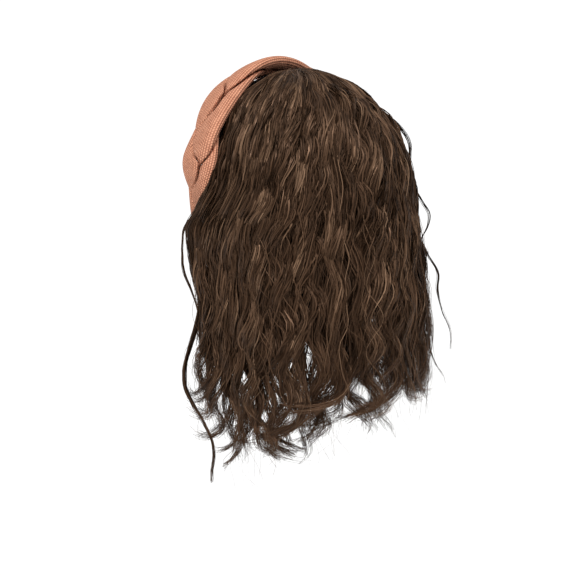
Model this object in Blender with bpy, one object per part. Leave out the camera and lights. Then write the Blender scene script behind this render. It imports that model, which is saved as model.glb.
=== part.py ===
"""A half wig of wavy hair behind a padded braided head band.

Metres, +Z up, the face towards -Y and the wearer's left ear at +X. The origin is the point
where the head carries the band: on the crown, under the middle of the band's core.
"""

import math
import random
from collections import namedtuple

import bmesh
import bpy
from mathutils import Vector

MM = 0.001

# The head that wears it: an ellipsoid that is not built, which the band and the cap follow
HEAD_HALF_WIDTH = 76 * MM
HEAD_HALF_LENGTH = 92 * MM
HEAD_HALF_HEIGHT = 100 * MM
HEAD_MIDDLE_BACK = 22 * MM

# Gaps between neighbours
SEAM_GAP = 0.3 * MM
STRAND_GAP = 1.2 * MM
LAYER_GAP = 0.85 * MM
FRONT_GAP = 2 * MM

# Head band: stiff core, three padded strands, two sewn ends
CORE_WIDTH = 16 * MM
CORE_THICKNESS = 3 * MM
CORE_CHAMFER = 0.8 * MM
BAND_HALF_LENGTH = 160 * MM
BAND_END_LENGTH = 14 * MM
BAND_END_TIP_WIDTH = 11 * MM
BAND_END_TIP_THICKNESS = 5 * MM
BRAID_WIDTH = 43 * MM
BRAID_THICKNESS = 14 * MM
BRAID_REPEAT = 165 * MM
BRAID_START_TURN = math.radians(34)
BRAID_TAPER_LENGTH = 60 * MM
BRAID_END_SHARE = 0.5
STRAND_SHARE = 0.35  # of the braid's width, from a strand's middle to its free side
STRAND_COUNT = 3

# Cap and the binding on its front edge
CAP_THICKNESS = 1.2 * MM
CAP_SIDE_DROP = 0 * MM
CAP_BACK_DROP = 28 * MM
BINDING_THICKNESS = 1.2 * MM

# Hair: a hollow mantle over the cap that splits into separate locks
HAIR_CROWN_THICKNESS = 5.5 * MM
HAIR_EDGE_THICKNESS = 3.5 * MM
HAIR_SIDE_THICKNESS = 13 * MM
HAIR_BACK_THICKNESS = 23 * MM
HAIR_INSET = 9 * MM
HAIR_BODY_FALL = 138 * MM
HAIR_LENGTH = 322 * MM
HAIR_FORWARD_SWING = 28 * MM
HAIR_SWING_RUN = 45 * MM
LOCK_COUNT = 16
LOCK_BULGE = 4.5 * MM
LOCK_RAGGEDNESS = 9 * MM
LOCK_TIP_SHARE = 0.2
WAVE_LENGTH = 56 * MM
WAVE_WIDTH = 3.2 * MM
WAVE_DEPTH = 1.8 * MM
TIP_WAVE_WIDTH = 6 * MM

# Fineness of the lofts
STRAND_RING = 12
STRAND_SECTIONS = 58
CORE_SECTIONS = 26
BINDING_SECTIONS = 24
END_RING = 12
END_SECTIONS = 5
CAP_COLUMNS = 24
CAP_ROWS = 9
LOCK_COLUMNS = 4
DOME_ROWS = 8
FALL_ROWS = 10
INNER_ROW_STEP = 2
TIP_ROWS = 8
SEED = 7

# How the hair hangs below the head's widest level. down is a share of HAIR_BODY_FALL, side and
# back are shares of the thicknesses at the ears and behind, and inset one of HAIR_INSET.
Level = namedtuple("Level", "down side back inset")
HAIR_LEVELS = (
    Level(down=0.00, side=0.64, back=0.68, inset=0.0),
    Level(down=0.25, side=0.68, back=0.88, inset=0.0),
    Level(down=0.60, side=0.72, back=1.00, inset=0.8),
    Level(down=1.00, side=0.90, back=0.97, inset=1.0),
)

# Where the locks end. side runs from -1 at the right ear over 0 behind to 1 at the left ear,
# and drop is a share of HAIR_LENGTH below the origin.
Hem = namedtuple("Hem", "side drop")
HEM_LINE = (
    Hem(side=-1.0, drop=0.87),
    Hem(side=-0.7, drop=0.81),
    Hem(side=-0.3, drop=0.78),
    Hem(side=0.0, drop=0.81),
    Hem(side=0.35, drop=0.90),
    Hem(side=0.7, drop=0.97),
    Hem(side=1.0, drop=0.96),
)

Finish = namedtuple("Finish", "colour roughness")
HAIR_FINISH = Finish(colour=(0.045, 0.026, 0.016), roughness=0.45)
KNIT_FINISH = Finish(colour=(0.50, 0.19, 0.10), roughness=0.85)
CORE_FINISH = Finish(colour=(0.012, 0.012, 0.013), roughness=0.30)
BINDING_FINISH = Finish(colour=(0.010, 0.010, 0.011), roughness=0.28)
CAP_FINISH = Finish(colour=(0.014, 0.013, 0.012), roughness=0.80)

HEAD_MIDDLE = Vector(
    (
        0,
        HEAD_MIDDLE_BACK,
        -HEAD_HALF_HEIGHT * math.sqrt(1 - (HEAD_MIDDLE_BACK / HEAD_HALF_LENGTH) ** 2),
    )
)
BINDING_FRONT = CORE_WIDTH / 2
CAP_FRONT = BINDING_FRONT + SEAM_GAP
HAIR_FRONT = BRAID_WIDTH / 2 + FRONT_GAP
BRAID_SEAT = CORE_THICKNESS + SEAM_GAP
CAP_COVER = CAP_THICKNESS + LAYER_GAP
QUARTER = math.pi / 2


def smooth_step(value):
    value = min(1.0, max(0.0, value))
    return value * value * (3 - 2 * value)


def mix(first, second, share):
    return first + (second - first) * share


def read_table(rows, key, wanted, value):
    """The value column of a table at a place between its rows."""
    for low, high in zip(rows, rows[1:]):
        if value <= getattr(high, key) or high is rows[-1]:
            run = getattr(high, key) - getattr(low, key)
            share = smooth_step((value - getattr(low, key)) / run)
            return mix(getattr(low, wanted), getattr(high, wanted), share)


def clear_scene():
    for item in list(bpy.data.objects):
        bpy.data.objects.remove(item)


def finish_of(name, finish):
    material = bpy.data.materials.get(name) or bpy.data.materials.new(name)
    material.use_nodes = True
    shader = material.node_tree.nodes["Principled BSDF"]
    shader.inputs["Base Color"].default_value = (*finish.colour, 1)
    shader.inputs["Roughness"].default_value = finish.roughness
    return material


def add_piece(name, mesh_form, material):
    """Turns a bmesh into an object whose faces point outwards and are shaded smooth."""
    bmesh.ops.recalc_face_normals(mesh_form, faces=mesh_form.faces)
    mesh = bpy.data.meshes.new(name)
    mesh_form.to_mesh(mesh)
    mesh_form.free()
    mesh.shade_smooth()
    mesh.set_sharp_from_angle(angle=math.radians(50))
    mesh.materials.append(material)
    piece = bpy.data.objects.new(name, mesh)
    bpy.context.collection.objects.link(piece)
    return piece


def join_rings(mesh_form, rings):
    """Faces between rings of vertices that all have the same count."""
    for first, second in zip(rings, rings[1:]):
        for i in range(len(first)):
            j = (i + 1) % len(first)
            mesh_form.faces.new((first[i], first[j], second[j], second[i]))


def loft(name, sections, material):
    """A closed solid through rings of points, with a flat face at each end."""
    mesh_form = bmesh.new()
    rings = [[mesh_form.verts.new(point) for point in section] for section in sections]
    join_rings(mesh_form, rings)
    mesh_form.faces.new(rings[0])
    mesh_form.faces.new(rings[-1])
    return add_piece(name, mesh_form, material)


# Head


def head_normal(point):
    away = point - HEAD_MIDDLE
    return Vector(
        (
            away.x / HEAD_HALF_WIDTH**2,
            away.y / HEAD_HALF_LENGTH**2,
            away.z / HEAD_HALF_HEIGHT**2,
        )
    ).normalized()


def fan_point(apex_y, azimuth, share, offset, drop=0.0):
    """A point raised by offset from the head, on a line that runs from the top of the head down.

    All the lines start at x = 0, y = apex_y and lie in upright planes. Azimuth 0 runs straight
    back and 90 degrees to the left ear. Share 1 is drop below the head's widest level.
    """
    across = math.sin(azimuth)
    along = math.cos(azimuth)
    shift = apex_y - HEAD_MIDDLE.y
    tightness = (across / HEAD_HALF_WIDTH) ** 2 + (along / HEAD_HALF_LENGTH) ** 2
    lean = shift * along / HEAD_HALF_LENGTH**2
    size = 1 - (shift / HEAD_HALF_LENGTH) ** 2 + lean**2 / tightness
    reach = math.sqrt(size / tightness)
    middle = -lean / tightness
    height = HEAD_HALF_HEIGHT * math.sqrt(size)
    start = math.asin(-middle / reach)
    end = QUARTER + math.asin(drop / height)
    turn = mix(start, end, share)
    radius = middle + reach * math.sin(turn)
    point = Vector(
        (
            radius * across,
            apex_y + radius * along,
            HEAD_MIDDLE.z + height * math.cos(turn),
        )
    )
    return point + head_normal(point) * offset


# Head band

Frame = namedtuple("Frame", "place up rear")


def band_angle(distance):
    """The angle from the crown, round the band's section of the head, at a length of band."""
    shrink = math.sqrt(1 - (HEAD_MIDDLE_BACK / HEAD_HALF_LENGTH) ** 2)
    steps = 300
    length = 0.0
    angle = 0.0
    step = math.pi / steps
    while length < abs(distance):
        speed = shrink * math.hypot(
            HEAD_HALF_WIDTH * math.cos(angle), HEAD_HALF_HEIGHT * math.sin(angle)
        )
        part = min(1.0, (abs(distance) - length) / (speed * step))
        length += speed * step
        angle += step * part
    return math.copysign(angle, distance)


def band_frame(distance):
    """Place, outward direction and backward direction at a length of band from the crown."""
    shrink = math.sqrt(1 - (HEAD_MIDDLE_BACK / HEAD_HALF_LENGTH) ** 2)
    angle = band_angle(distance)
    place = Vector(
        (
            HEAD_HALF_WIDTH * shrink * math.sin(angle),
            0,
            HEAD_MIDDLE.z + HEAD_HALF_HEIGHT * shrink * math.cos(angle),
        )
    )
    along = Vector(
        (HEAD_HALF_WIDTH * math.cos(angle), 0, -HEAD_HALF_HEIGHT * math.sin(angle))
    ).normalized()
    up = head_normal(place)
    return Frame(place, up, up.cross(along).normalized())


def on_band(distance, across, height):
    frame = band_frame(distance)
    return frame.place + frame.rear * across + frame.up * height


BRAID_HALF_LENGTH = BAND_HALF_LENGTH - BAND_END_LENGTH
STRAND_RADIUS = STRAND_SHARE * BRAID_WIDTH
STRAND_SWING = BRAID_WIDTH / 2 - STRAND_RADIUS
STRAND_LIFT = STRAND_SWING * 0.9
STACK_REACH = STRAND_LIFT + STRAND_RADIUS * 0.8
FLATNESS = 2 * STACK_REACH / BRAID_THICKNESS


def braid_size(distance):
    """Share of the braid's full size, which tapers towards both ends."""
    left = BRAID_HALF_LENGTH - abs(distance)
    return mix(BRAID_END_SHARE, 1.0, smooth_step(left / BRAID_TAPER_LENGTH))


def strand_middle(strand, distance):
    """Sideways and height of a strand's middle, with the height stretched to a round section.

    A strand that leaves an edge runs over the middle and then dives under the other edge.
    """
    turn = 2 * math.pi * (distance / BRAID_REPEAT + strand / STRAND_COUNT) + BRAID_START_TURN
    return -STRAND_SWING * math.cos(turn), STRAND_LIFT * math.sin(2 * turn)


def strand_section(strand, distance):
    """The ring of one strand: round where it is free, flat against its neighbours and core."""
    size = braid_size(distance)
    across, lift = strand_middle(strand, distance)
    stops = []
    for other in range(STRAND_COUNT):
        if other != strand:
            other_across, other_lift = strand_middle(other, distance)
            stops.append(Vector((other_across - across, other_lift - lift)))
    half_gap = STRAND_GAP * FLATNESS / 2 / size
    ring = []
    for step in range(STRAND_RING):
        angle = 2 * math.pi * step / STRAND_RING
        way = Vector((math.cos(angle), math.sin(angle)))
        limits = [STRAND_RADIUS]
        for stop in stops:
            facing = way.dot(stop.normalized())
            if facing > 0.05:
                limits.append((stop.length / 2 - half_gap) / facing)
        if abs(way.y) > 0.05:
            limits.append((STACK_REACH - math.copysign(lift, way.y * lift)) / abs(way.y))
        softness = 7
        reach = sum(limit**-softness for limit in limits) ** (-1 / softness)
        height = (lift + way.y * reach + STACK_REACH) / FLATNESS
        ring.append(on_band(distance, (across + way.x * reach) * size, BRAID_SEAT + height * size))
    return ring


def spread(count, low, high):
    return [mix(low, high, i / (count - 1)) for i in range(count)]


def build_core(material):
    half = CORE_WIDTH / 2
    corner = CORE_CHAMFER
    outline = (
        (-half + corner, 0),
        (half - corner, 0),
        (half, corner),
        (half, CORE_THICKNESS - corner),
        (half - corner, CORE_THICKNESS),
        (-half + corner, CORE_THICKNESS),
        (-half, CORE_THICKNESS - corner),
        (-half, corner),
    )
    places = spread(CORE_SECTIONS, -BRAID_HALF_LENGTH, BRAID_HALF_LENGTH)
    sections = [[on_band(place, *point) for point in outline] for place in places]
    loft("band_core", sections, material)


def build_braid(material):
    for strand in range(STRAND_COUNT):
        places = spread(STRAND_SECTIONS, -BRAID_HALF_LENGTH, BRAID_HALF_LENGTH)
        sections = [strand_section(strand, place) for place in places]
        loft(f"braid_strand_{strand + 1}", sections, material)


def build_band_ends(material):
    """The sewn ends of the cover, which close round the core and the strands."""
    full_width = BRAID_WIDTH * BRAID_END_SHARE
    full_thickness = BRAID_SEAT + BRAID_THICKNESS * BRAID_END_SHARE
    for name, side in (("band_end_left", 1), ("band_end_right", -1)):
        sections = []
        for step in range(END_SECTIONS):
            share = step / (END_SECTIONS - 1)
            rounding = 1 - math.sqrt(1 - (0.98 * share) ** 2)
            width = mix(full_width, BAND_END_TIP_WIDTH, rounding)
            thickness = mix(full_thickness, BAND_END_TIP_THICKNESS, rounding)
            place = side * mix(BRAID_HALF_LENGTH + SEAM_GAP, BAND_HALF_LENGTH, share)
            ring = []
            for corner in range(END_RING):
                angle = 2 * math.pi * corner / END_RING
                flat = 0.7
                across = math.copysign(abs(math.cos(angle)) ** flat, math.cos(angle)) * width / 2
                rise = math.copysign(abs(math.sin(angle)) ** flat, math.sin(angle))
                ring.append(on_band(place, across, (1 + rise) * thickness / 2))
            sections.append(ring)
        loft(name, sections, material)


# Cap and binding


def cap_drop(azimuth):
    return mix(CAP_SIDE_DROP, CAP_BACK_DROP, math.cos(azimuth) ** 2)


def build_binding(material):
    """A flat strip over the cap's front edge, from ear to ear behind the band's core."""
    lower = CAP_COVER
    upper = CAP_COVER + BINDING_THICKNESS
    rear = HAIR_FRONT - SEAM_GAP
    middle = (BINDING_FRONT + rear) / 2
    outline = [(front, lower) for front in (BINDING_FRONT, middle, rear)]
    outline += [(front, upper) for front in (rear, middle, BINDING_FRONT)]
    sections = []
    for share in spread(BINDING_SECTIONS, -1, 1):
        azimuth = math.copysign(QUARTER, share)
        sections.append(
            [
                fan_point(front, azimuth, abs(share), offset, CAP_SIDE_DROP)
                for front, offset in outline
            ]
        )
    loft("cap_binding", sections, material)


def build_cap(material):
    """A thin dome over the back of the head, open below and in front."""
    mesh_form = bmesh.new()
    apexes = []
    sheets = []
    azimuths = spread(CAP_COLUMNS + 1, -QUARTER, QUARTER)
    for offset in (0, CAP_THICKNESS):
        apexes.append(mesh_form.verts.new(fan_point(CAP_FRONT, 0, 0, offset)))
        sheets.append(
            [
                [
                    mesh_form.verts.new(
                        fan_point(CAP_FRONT, azimuth, (row + 1) / CAP_ROWS, offset, cap_drop(azimuth))
                    )
                    for row in range(CAP_ROWS)
                ]
                for azimuth in azimuths
            ]
        )
    for apex, sheet in zip(apexes, sheets):
        for left, right in zip(sheet, sheet[1:]):
            mesh_form.faces.new((apex, left[0], right[0]))
            for row in range(CAP_ROWS - 1):
                mesh_form.faces.new((left[row], left[row + 1], right[row + 1], right[row]))
    inner, outer = sheets
    for i in range(CAP_COLUMNS):
        mesh_form.faces.new((inner[i][-1], inner[i + 1][-1], outer[i + 1][-1], outer[i][-1]))
    for edge in (0, -1):
        mesh_form.faces.new((apexes[0], inner[edge][0], outer[edge][0], apexes[1]))
        for row in range(CAP_ROWS - 1):
            mesh_form.faces.new(
                (inner[edge][row], inner[edge][row + 1], outer[edge][row + 1], outer[edge][row])
            )
    add_piece("wig_cap", mesh_form, material)


# Hair

Column = namedtuple("Column", "azimuth lock crest root out along")
Lock = namedtuple("Lock", "bulge phase split end")


def plan_out(azimuth):
    """The level outward direction at the head's widest level."""
    return head_normal(fan_point(HAIR_FRONT, azimuth, 1, 0))


def make_locks():
    """Bulge, wave phase, and the heights where each lock leaves the mantle and ends."""
    chance = random.Random(SEED)
    locks = []
    for i in range(LOCK_COUNT):
        side = 2 * (i + 0.5) / LOCK_COUNT - 1
        ragged = LOCK_RAGGEDNESS * chance.uniform(-1, 1)
        end = -HAIR_LENGTH * read_table(HEM_LINE, "side", "drop", side) + ragged
        split = HEAD_MIDDLE.z - HAIR_BODY_FALL + ragged
        bulge = LOCK_BULGE * chance.uniform(0.6, 1.2)
        phase = 2.2 * math.sin(3.1 * side + 0.6) + 1.4 * math.sin(7.3 * side)
        locks.append(Lock(bulge, phase, split, end))
    return locks


def make_columns():
    """The lines that run down the mantle, LOCK_COLUMNS of them to each lock."""
    columns = []
    count = LOCK_COUNT * LOCK_COLUMNS
    for j, azimuth in enumerate(spread(count, -QUARTER, QUARTER)):
        crest = math.sin(math.pi * (j % LOCK_COLUMNS) / (LOCK_COLUMNS - 1))
        out = plan_out(azimuth)
        columns.append(
            Column(
                azimuth=azimuth,
                lock=j // LOCK_COLUMNS,
                crest=crest,
                root=fan_point(HAIR_FRONT, azimuth, 1, 0),
                out=out,
                along=Vector((out.y, -out.x, 0)),
            )
        )
    return columns


def hair_offset(azimuth, down):
    """How far the hair's smooth outside stands off the head at a share of the body's fall."""
    side = HAIR_SIDE_THICKNESS * read_table(HAIR_LEVELS, "down", "side", down)
    back = HAIR_BACK_THICKNESS * read_table(HAIR_LEVELS, "down", "back", down)
    return mix(side, back, math.cos(azimuth) ** 2)


def release(height):
    """0 beside the head band, 1 once the hair hangs free below it."""
    return smooth_step((HEAD_MIDDLE.z - height) / HAIR_SWING_RUN)


def place_fallen(column, height, offset, sideways):
    """A point of the falling hair, held back at the ears until it has passed the band's end."""
    edge = math.sin(column.azimuth) ** 6
    free = release(height)
    loose = mix(math.cos(column.azimuth) ** 2, 1, free)
    point = column.root + column.out * offset + column.along * sideways * loose
    point.y -= HAIR_FORWARD_SWING * edge * free
    point.z = height
    return point


def wave(path, phase, growth):
    """Sideways and outward shift of the hair at a length from the crown."""
    turn = 2 * math.pi * path / WAVE_LENGTH + phase
    return (
        WAVE_WIDTH * growth * math.sin(turn),
        WAVE_DEPTH * growth * math.cos(turn),
    )


def dome_point(column, lock, share):
    """A point of the hair's outside on the head, where it thins out towards the head band."""
    arc = QUARTER * HEAD_HALF_HEIGHT
    sideways, outward = wave(share * arc, lock.phase, share**2)
    edge = math.sin(column.azimuth) ** 8 * (1 - share**2)
    smooth = mix(HAIR_CROWN_THICKNESS, hair_offset(column.azimuth, 0), share**2.2)
    full = smooth + lock.bulge * column.crest * share + outward
    offset = mix(full, HAIR_EDGE_THICKNESS, edge)
    point = fan_point(HAIR_FRONT, column.azimuth, share, offset)
    return point + column.along * sideways * math.cos(column.azimuth) ** 2


def fall_point(column, lock, down):
    """A point of the hair's outside below the head's widest level."""
    height = mix(HEAD_MIDDLE.z, lock.split, down)
    arc = QUARTER * HEAD_HALF_HEIGHT + HEAD_MIDDLE.z - height
    sideways, outward = wave(arc, lock.phase, 1)
    offset = hair_offset(column.azimuth, down) + lock.bulge * column.crest + outward
    return place_fallen(column, height, offset, sideways)


def inner_fall_point(column, lock, down):
    """A point of the mantle's inside, which draws in towards the neck below the cap."""
    height = mix(HEAD_MIDDLE.z, lock.split, down)
    arc = QUARTER * HEAD_HALF_HEIGHT + HEAD_MIDDLE.z - height
    sideways, _ = wave(arc, lock.phase, smooth_step(down))
    offset = CAP_COVER - HAIR_INSET * read_table(HAIR_LEVELS, "down", "inset", down)
    return place_fallen(column, height, offset, sideways)


def add_mantle(mesh_form, columns, locks):
    """The hollow mantle, and for each column its last outer and inner vertex."""
    outer_apex = mesh_form.verts.new(fan_point(HAIR_FRONT, 0, 0, HAIR_CROWN_THICKNESS))
    inner_apex = mesh_form.verts.new(fan_point(HAIR_FRONT, 0, 0, CAP_COVER))
    outer = []
    inner = []
    for column in columns:
        lock = locks[column.lock]
        line = [dome_point(column, lock, (row + 1) / DOME_ROWS) for row in range(DOME_ROWS)]
        line += [fall_point(column, lock, (row + 1) / FALL_ROWS) for row in range(FALL_ROWS)]
        outer.append([mesh_form.verts.new(point) for point in line])
        line = [
            fan_point(HAIR_FRONT, column.azimuth, (row + 1) / DOME_ROWS, CAP_COVER)
            for row in range(DOME_ROWS)
        ]
        line += [
            inner_fall_point(column, lock, row / FALL_ROWS)
            for row in range(INNER_ROW_STEP, FALL_ROWS + 1, INNER_ROW_STEP)
        ]
        inner.append([mesh_form.verts.new(point) for point in line])
    for apex, sheet in ((outer_apex, outer), (inner_apex, inner)):
        for left, right in zip(sheet, sheet[1:]):
            mesh_form.faces.new((apex, left[0], right[0]))
            for row in range(len(left) - 1):
                mesh_form.faces.new((left[row], left[row + 1], right[row + 1], right[row]))
    for edge in (0, -1):
        outer_line = [outer_apex] + outer[edge]
        inner_line = [inner_apex] + inner[edge]
        first = 0
        for step in range(len(inner[edge])):
            last = first + (1 if step < DOME_ROWS else INNER_ROW_STEP)
            stretch = outer_line[first : last + 1]
            mesh_form.faces.new(stretch + [inner_line[step + 1], inner_line[step]])
            first = last
    return [line[-1] for line in outer], [line[-1] for line in inner]


def add_lock_tip(mesh_form, ring, columns, lock):
    """Draws the ring under one lock down into a waving, tapering tip."""
    middle = sum((vertex.co for vertex in ring), Vector()) / len(ring)
    along = sum((column.along for column in columns), Vector()).normalized()
    out = sum((column.out for column in columns), Vector()).normalized()
    arc = QUARTER * HEAD_HALF_HEIGHT + HEAD_MIDDLE.z - lock.split
    length = lock.split - lock.end
    rings = [ring]
    for row in range(1, TIP_ROWS + 1):
        share = row / TIP_ROWS
        size = mix(1, LOCK_TIP_SHARE, share**1.3)
        growth = mix(1, TIP_WAVE_WIDTH / WAVE_WIDTH, share)
        start = wave(arc, lock.phase, 1)
        now = wave(arc + length * share, lock.phase, growth)
        centre = middle + along * (now[0] - start[0]) + out * (now[1] - start[1])
        centre.z = mix(middle.z, lock.end, share)
        points = [centre + (vertex.co - middle) * size for vertex in ring]
        rings.append([mesh_form.verts.new(point) for point in points])
    join_rings(mesh_form, rings)
    mesh_form.faces.new(rings[-1])


def build_hair(material):
    locks = make_locks()
    columns = make_columns()
    mesh_form = bmesh.new()
    outer_hem, inner_hem = add_mantle(mesh_form, columns, locks)
    for i, lock in enumerate(locks):
        first = i * LOCK_COLUMNS
        last = first + LOCK_COLUMNS
        ring = outer_hem[first:last] + inner_hem[first:last][::-1]
        add_lock_tip(mesh_form, ring, columns[first:last], lock)
        if last < len(columns):
            mesh_form.faces.new(
                (outer_hem[last - 1], outer_hem[last], inner_hem[last], inner_hem[last - 1])
            )
    add_piece("hair", mesh_form, material)


def main():
    clear_scene()
    knit = finish_of("knit", KNIT_FINISH)
    build_core(finish_of("core_plastic", CORE_FINISH))
    build_braid(knit)
    build_band_ends(knit)
    build_cap(finish_of("cap_net", CAP_FINISH))
    build_binding(finish_of("binding_satin", BINDING_FINISH))
    build_hair(finish_of("hair", HAIR_FINISH))


main()
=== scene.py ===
import math

import bmesh
import bpy
import numpy as np
from mathutils import Matrix, Vector


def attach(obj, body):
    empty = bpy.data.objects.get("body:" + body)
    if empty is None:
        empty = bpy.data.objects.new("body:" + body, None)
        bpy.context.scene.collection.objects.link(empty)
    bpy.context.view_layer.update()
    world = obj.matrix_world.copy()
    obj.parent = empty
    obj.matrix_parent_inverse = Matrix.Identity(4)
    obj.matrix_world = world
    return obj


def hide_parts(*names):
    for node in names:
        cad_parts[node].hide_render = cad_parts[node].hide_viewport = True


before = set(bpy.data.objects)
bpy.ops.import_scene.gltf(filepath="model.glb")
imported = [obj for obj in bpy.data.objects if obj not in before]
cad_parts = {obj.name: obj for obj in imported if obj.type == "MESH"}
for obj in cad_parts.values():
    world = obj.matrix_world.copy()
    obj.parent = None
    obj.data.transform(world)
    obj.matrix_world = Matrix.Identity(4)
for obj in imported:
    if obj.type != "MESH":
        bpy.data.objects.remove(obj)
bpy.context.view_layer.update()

mm = 0.001
quarter = math.pi / 2

# The head that carries the wig, and the sizes that the looks share with the frame
head = {"width": 0.076, "length": 0.092, "height": 0.100, "back": 0.022}
headDrop = head["height"] * math.sqrt(1 - (head["back"] / head["length"]) ** 2)
headMiddle = np.array([0, head["back"], -headDrop])
radii = np.array([head["width"], head["length"], head["height"]])
seamGap = 0.3 * mm


def mix(first, second, share):
    return first + (second - first) * share


def smoothStep(value):
    value = np.clip(value, 0, 1)
    return value * value * (3 - 2 * value)


def unit(vectors):
    return vectors / np.linalg.norm(vectors, axis=-1, keepdims=True)


def headNormal(points):
    return unit((points - headMiddle) / radii**2)


# Points on the head on lines that run down from the top. Azimuth 0 is straight back.
def fanPoints(apexY, azimuth, share, drop=0.0):
    across, along = np.sin(azimuth), np.cos(azimuth)
    shift = apexY - headMiddle[1]
    tightness = (across / head["width"]) ** 2 + (along / head["length"]) ** 2
    lean = shift * along / head["length"] ** 2
    size = 1 - (shift / head["length"]) ** 2 + lean**2 / tightness
    reach = np.sqrt(size / tightness)
    middle = -lean / tightness
    height = head["height"] * np.sqrt(size)
    start = np.arcsin(-middle / reach)
    end = quarter + np.arcsin(drop / height)
    turn = mix(start, end, share)
    radius = middle + reach * np.sin(turn)
    z = headMiddle[2] + height * np.cos(turn)
    return np.stack([radius * across, apexY + radius * along, z], -1)


# Cubic curve through the values, with slopes from their neighbours.
def smoothCurve(places, values, wanted):
    slopes = np.gradient(values, places)
    i = np.clip(np.searchsorted(places, wanted) - 1, 0, len(places) - 2)
    step = places[i + 1] - places[i]
    t = np.clip((wanted - places[i]) / step, 0, 1)
    return (
        (2 * t**3 - 3 * t**2 + 1) * values[i]
        + (t**3 - 2 * t**2 + t) * step * slopes[i]
        + (3 * t**2 - 2 * t**3) * values[i + 1]
        + (t**3 - t**2) * step * slopes[i + 1]
    )


# Materials


def nodeMaterial(name):
    material = bpy.data.materials.new(name)
    material.use_nodes = True
    return material, material.node_tree, material.node_tree.nodes["Principled BSDF"]


def addNode(tree, kind, inputs=(), **settings):
    node = tree.nodes.new(kind)
    for key, value in settings.items():
        setattr(node, key, value)
    for key, value in dict(inputs).items():
        if isinstance(value, bpy.types.NodeSocket):
            tree.links.new(value, node.inputs[key])
        else:
            node.inputs[key].default_value = value
    return node


def calc(tree, operation, first, second=0.0, third=0.0):
    inputs = {0: first, 1: second, 2: third}
    return addNode(tree, "ShaderNodeMath", inputs, operation=operation).outputs[0]


def colourRamp(tree, factor, stops):
    ramp = addNode(tree, "ShaderNodeValToRGB", {"Fac": factor})
    while len(ramp.color_ramp.elements) < len(stops):
        ramp.color_ramp.elements.new(0.5)
    for element, (place, colour) in zip(ramp.color_ramp.elements, stops):
        element.position = place
        element.color = (*colour, 1)
    return ramp.outputs["Color"]


# Brown strands: a ramp turns each strand's tone value into its colour, from near-black to light
# brown. The value holds the strand's own random tone and painted shade, darker deep in the hair and
# on each tress's inner side.
def makeHairMaterial():
    material, tree, shader = nodeMaterial("hairStrands")
    toneAndShade = addNode(tree, "ShaderNodeAttribute", attribute_name="strandToneAndShade").outputs["Color"]
    parts = addNode(tree, "ShaderNodeSeparateColor", {"Color": toneAndShade})
    # Ramp from near-black, painted shade for strands deep in the hair, to light brown.
    shade = colourRamp(
        tree,
        parts.outputs["Red"],
        [
            (0.0, (0.006, 0.003, 0.0015)),
            (0.4, (0.022, 0.0108, 0.0056)),
            (0.7, (0.068, 0.037, 0.021)),
            (1.0, (0.190, 0.115, 0.070)),
        ],
    )
    tree.links.new(shade, shader.inputs["Base Color"])
    tree.links.new(
        calc(tree, "MULTIPLY_ADD", parts.outputs["Green"], 0.18, 0.36), shader.inputs["Roughness"]
    )
    shader.inputs["Specular IOR Level"].default_value = 0.5
    shader.inputs["Specular Tint"].default_value = (0.75, 0.45, 0.29, 1)
    return material


# Under-hair colour: near-black to dark brown streaks, darker than the strands as painted shade for
# the depths of the hair.
def makeUnderHairMaterial():
    material, tree, shader = nodeMaterial("underHair")
    place = addNode(tree, "ShaderNodeTexCoord").outputs["Object"]
    stretched = addNode(tree, "ShaderNodeMapping", {"Vector": place, "Scale": (420, 420, 9)})
    noise = addNode(
        tree, "ShaderNodeTexNoise", {"Vector": stretched.outputs[0], "Scale": 1.0, "Detail": 3.0}
    )
    shade = colourRamp(
        tree,
        noise.outputs["Fac"],
        [(0.35, (0.006, 0.0035, 0.002)), (0.7, (0.030, 0.018, 0.011))],
    )
    tree.links.new(shade, shader.inputs["Base Color"])
    bump = addNode(
        tree,
        "ShaderNodeBump",
        {"Height": noise.outputs["Fac"], "Strength": 0.6, "Distance": 0.0015},
    )
    tree.links.new(bump.outputs[0], shader.inputs["Normal"])
    shader.inputs["Roughness"].default_value = 0.6
    return material


# Terracotta knit: ribs along each strand, cut into small stitches across. Its colour is a random
# mottle plus painted shade that darkens down into the grooves between ribs and stitches.
def makeKnitMaterial():
    material, tree, shader = nodeMaterial("ribbedKnit")
    place = addNode(tree, "ShaderNodeUVMap", uv_map="knitMap").outputs["UV"]
    parts = addNode(tree, "ShaderNodeSeparateXYZ", {"Vector": place})
    rib = calc(tree, "SINE", calc(tree, "MULTIPLY", parts.outputs["X"], math.pi))
    rib = calc(tree, "ABSOLUTE", rib)
    column = calc(tree, "FLOOR", parts.outputs["X"])
    offset = calc(tree, "MULTIPLY", calc(tree, "MODULO", column, 2.0), 0.5)
    row = calc(tree, "ADD", parts.outputs["Y"], offset)
    stitch = calc(tree, "ABSOLUTE", calc(tree, "SINE", calc(tree, "MULTIPLY", row, math.pi)))
    depth = mixSocket(tree, 0.45, 1.0, stitch)
    height = calc(tree, "MULTIPLY", calc(tree, "POWER", rib, 0.7), depth)
    noise = addNode(
        tree, "ShaderNodeTexNoise", {"Vector": place, "Scale": 0.35, "Detail": 3.0}
    ).outputs["Fac"]
    # Random mottle plus rib and stitch height, so the colour is darker in the grooves: painted
    # shade.
    mottleAndGrooveShade = calc(tree, "MULTIPLY_ADD", noise, 0.5, calc(tree, "MULTIPLY", height, 0.6))
    shade = colourRamp(
        tree,
        mottleAndGrooveShade,
        [
            (0.15, (0.16, 0.048, 0.024)),
            (0.45, (0.47, 0.180, 0.100)),
            (0.85, (0.70, 0.33, 0.20)),
        ],
    )
    tree.links.new(shade, shader.inputs["Base Color"])
    bump = addNode(
        tree, "ShaderNodeBump", {"Height": height, "Strength": 0.9, "Distance": 0.0012}
    )
    tree.links.new(bump.outputs[0], shader.inputs["Normal"])
    shader.inputs["Roughness"].default_value = 0.88
    return material


def mixSocket(tree, low, high, share):
    return calc(tree, "MULTIPLY_ADD", share, high - low, low)


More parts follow.
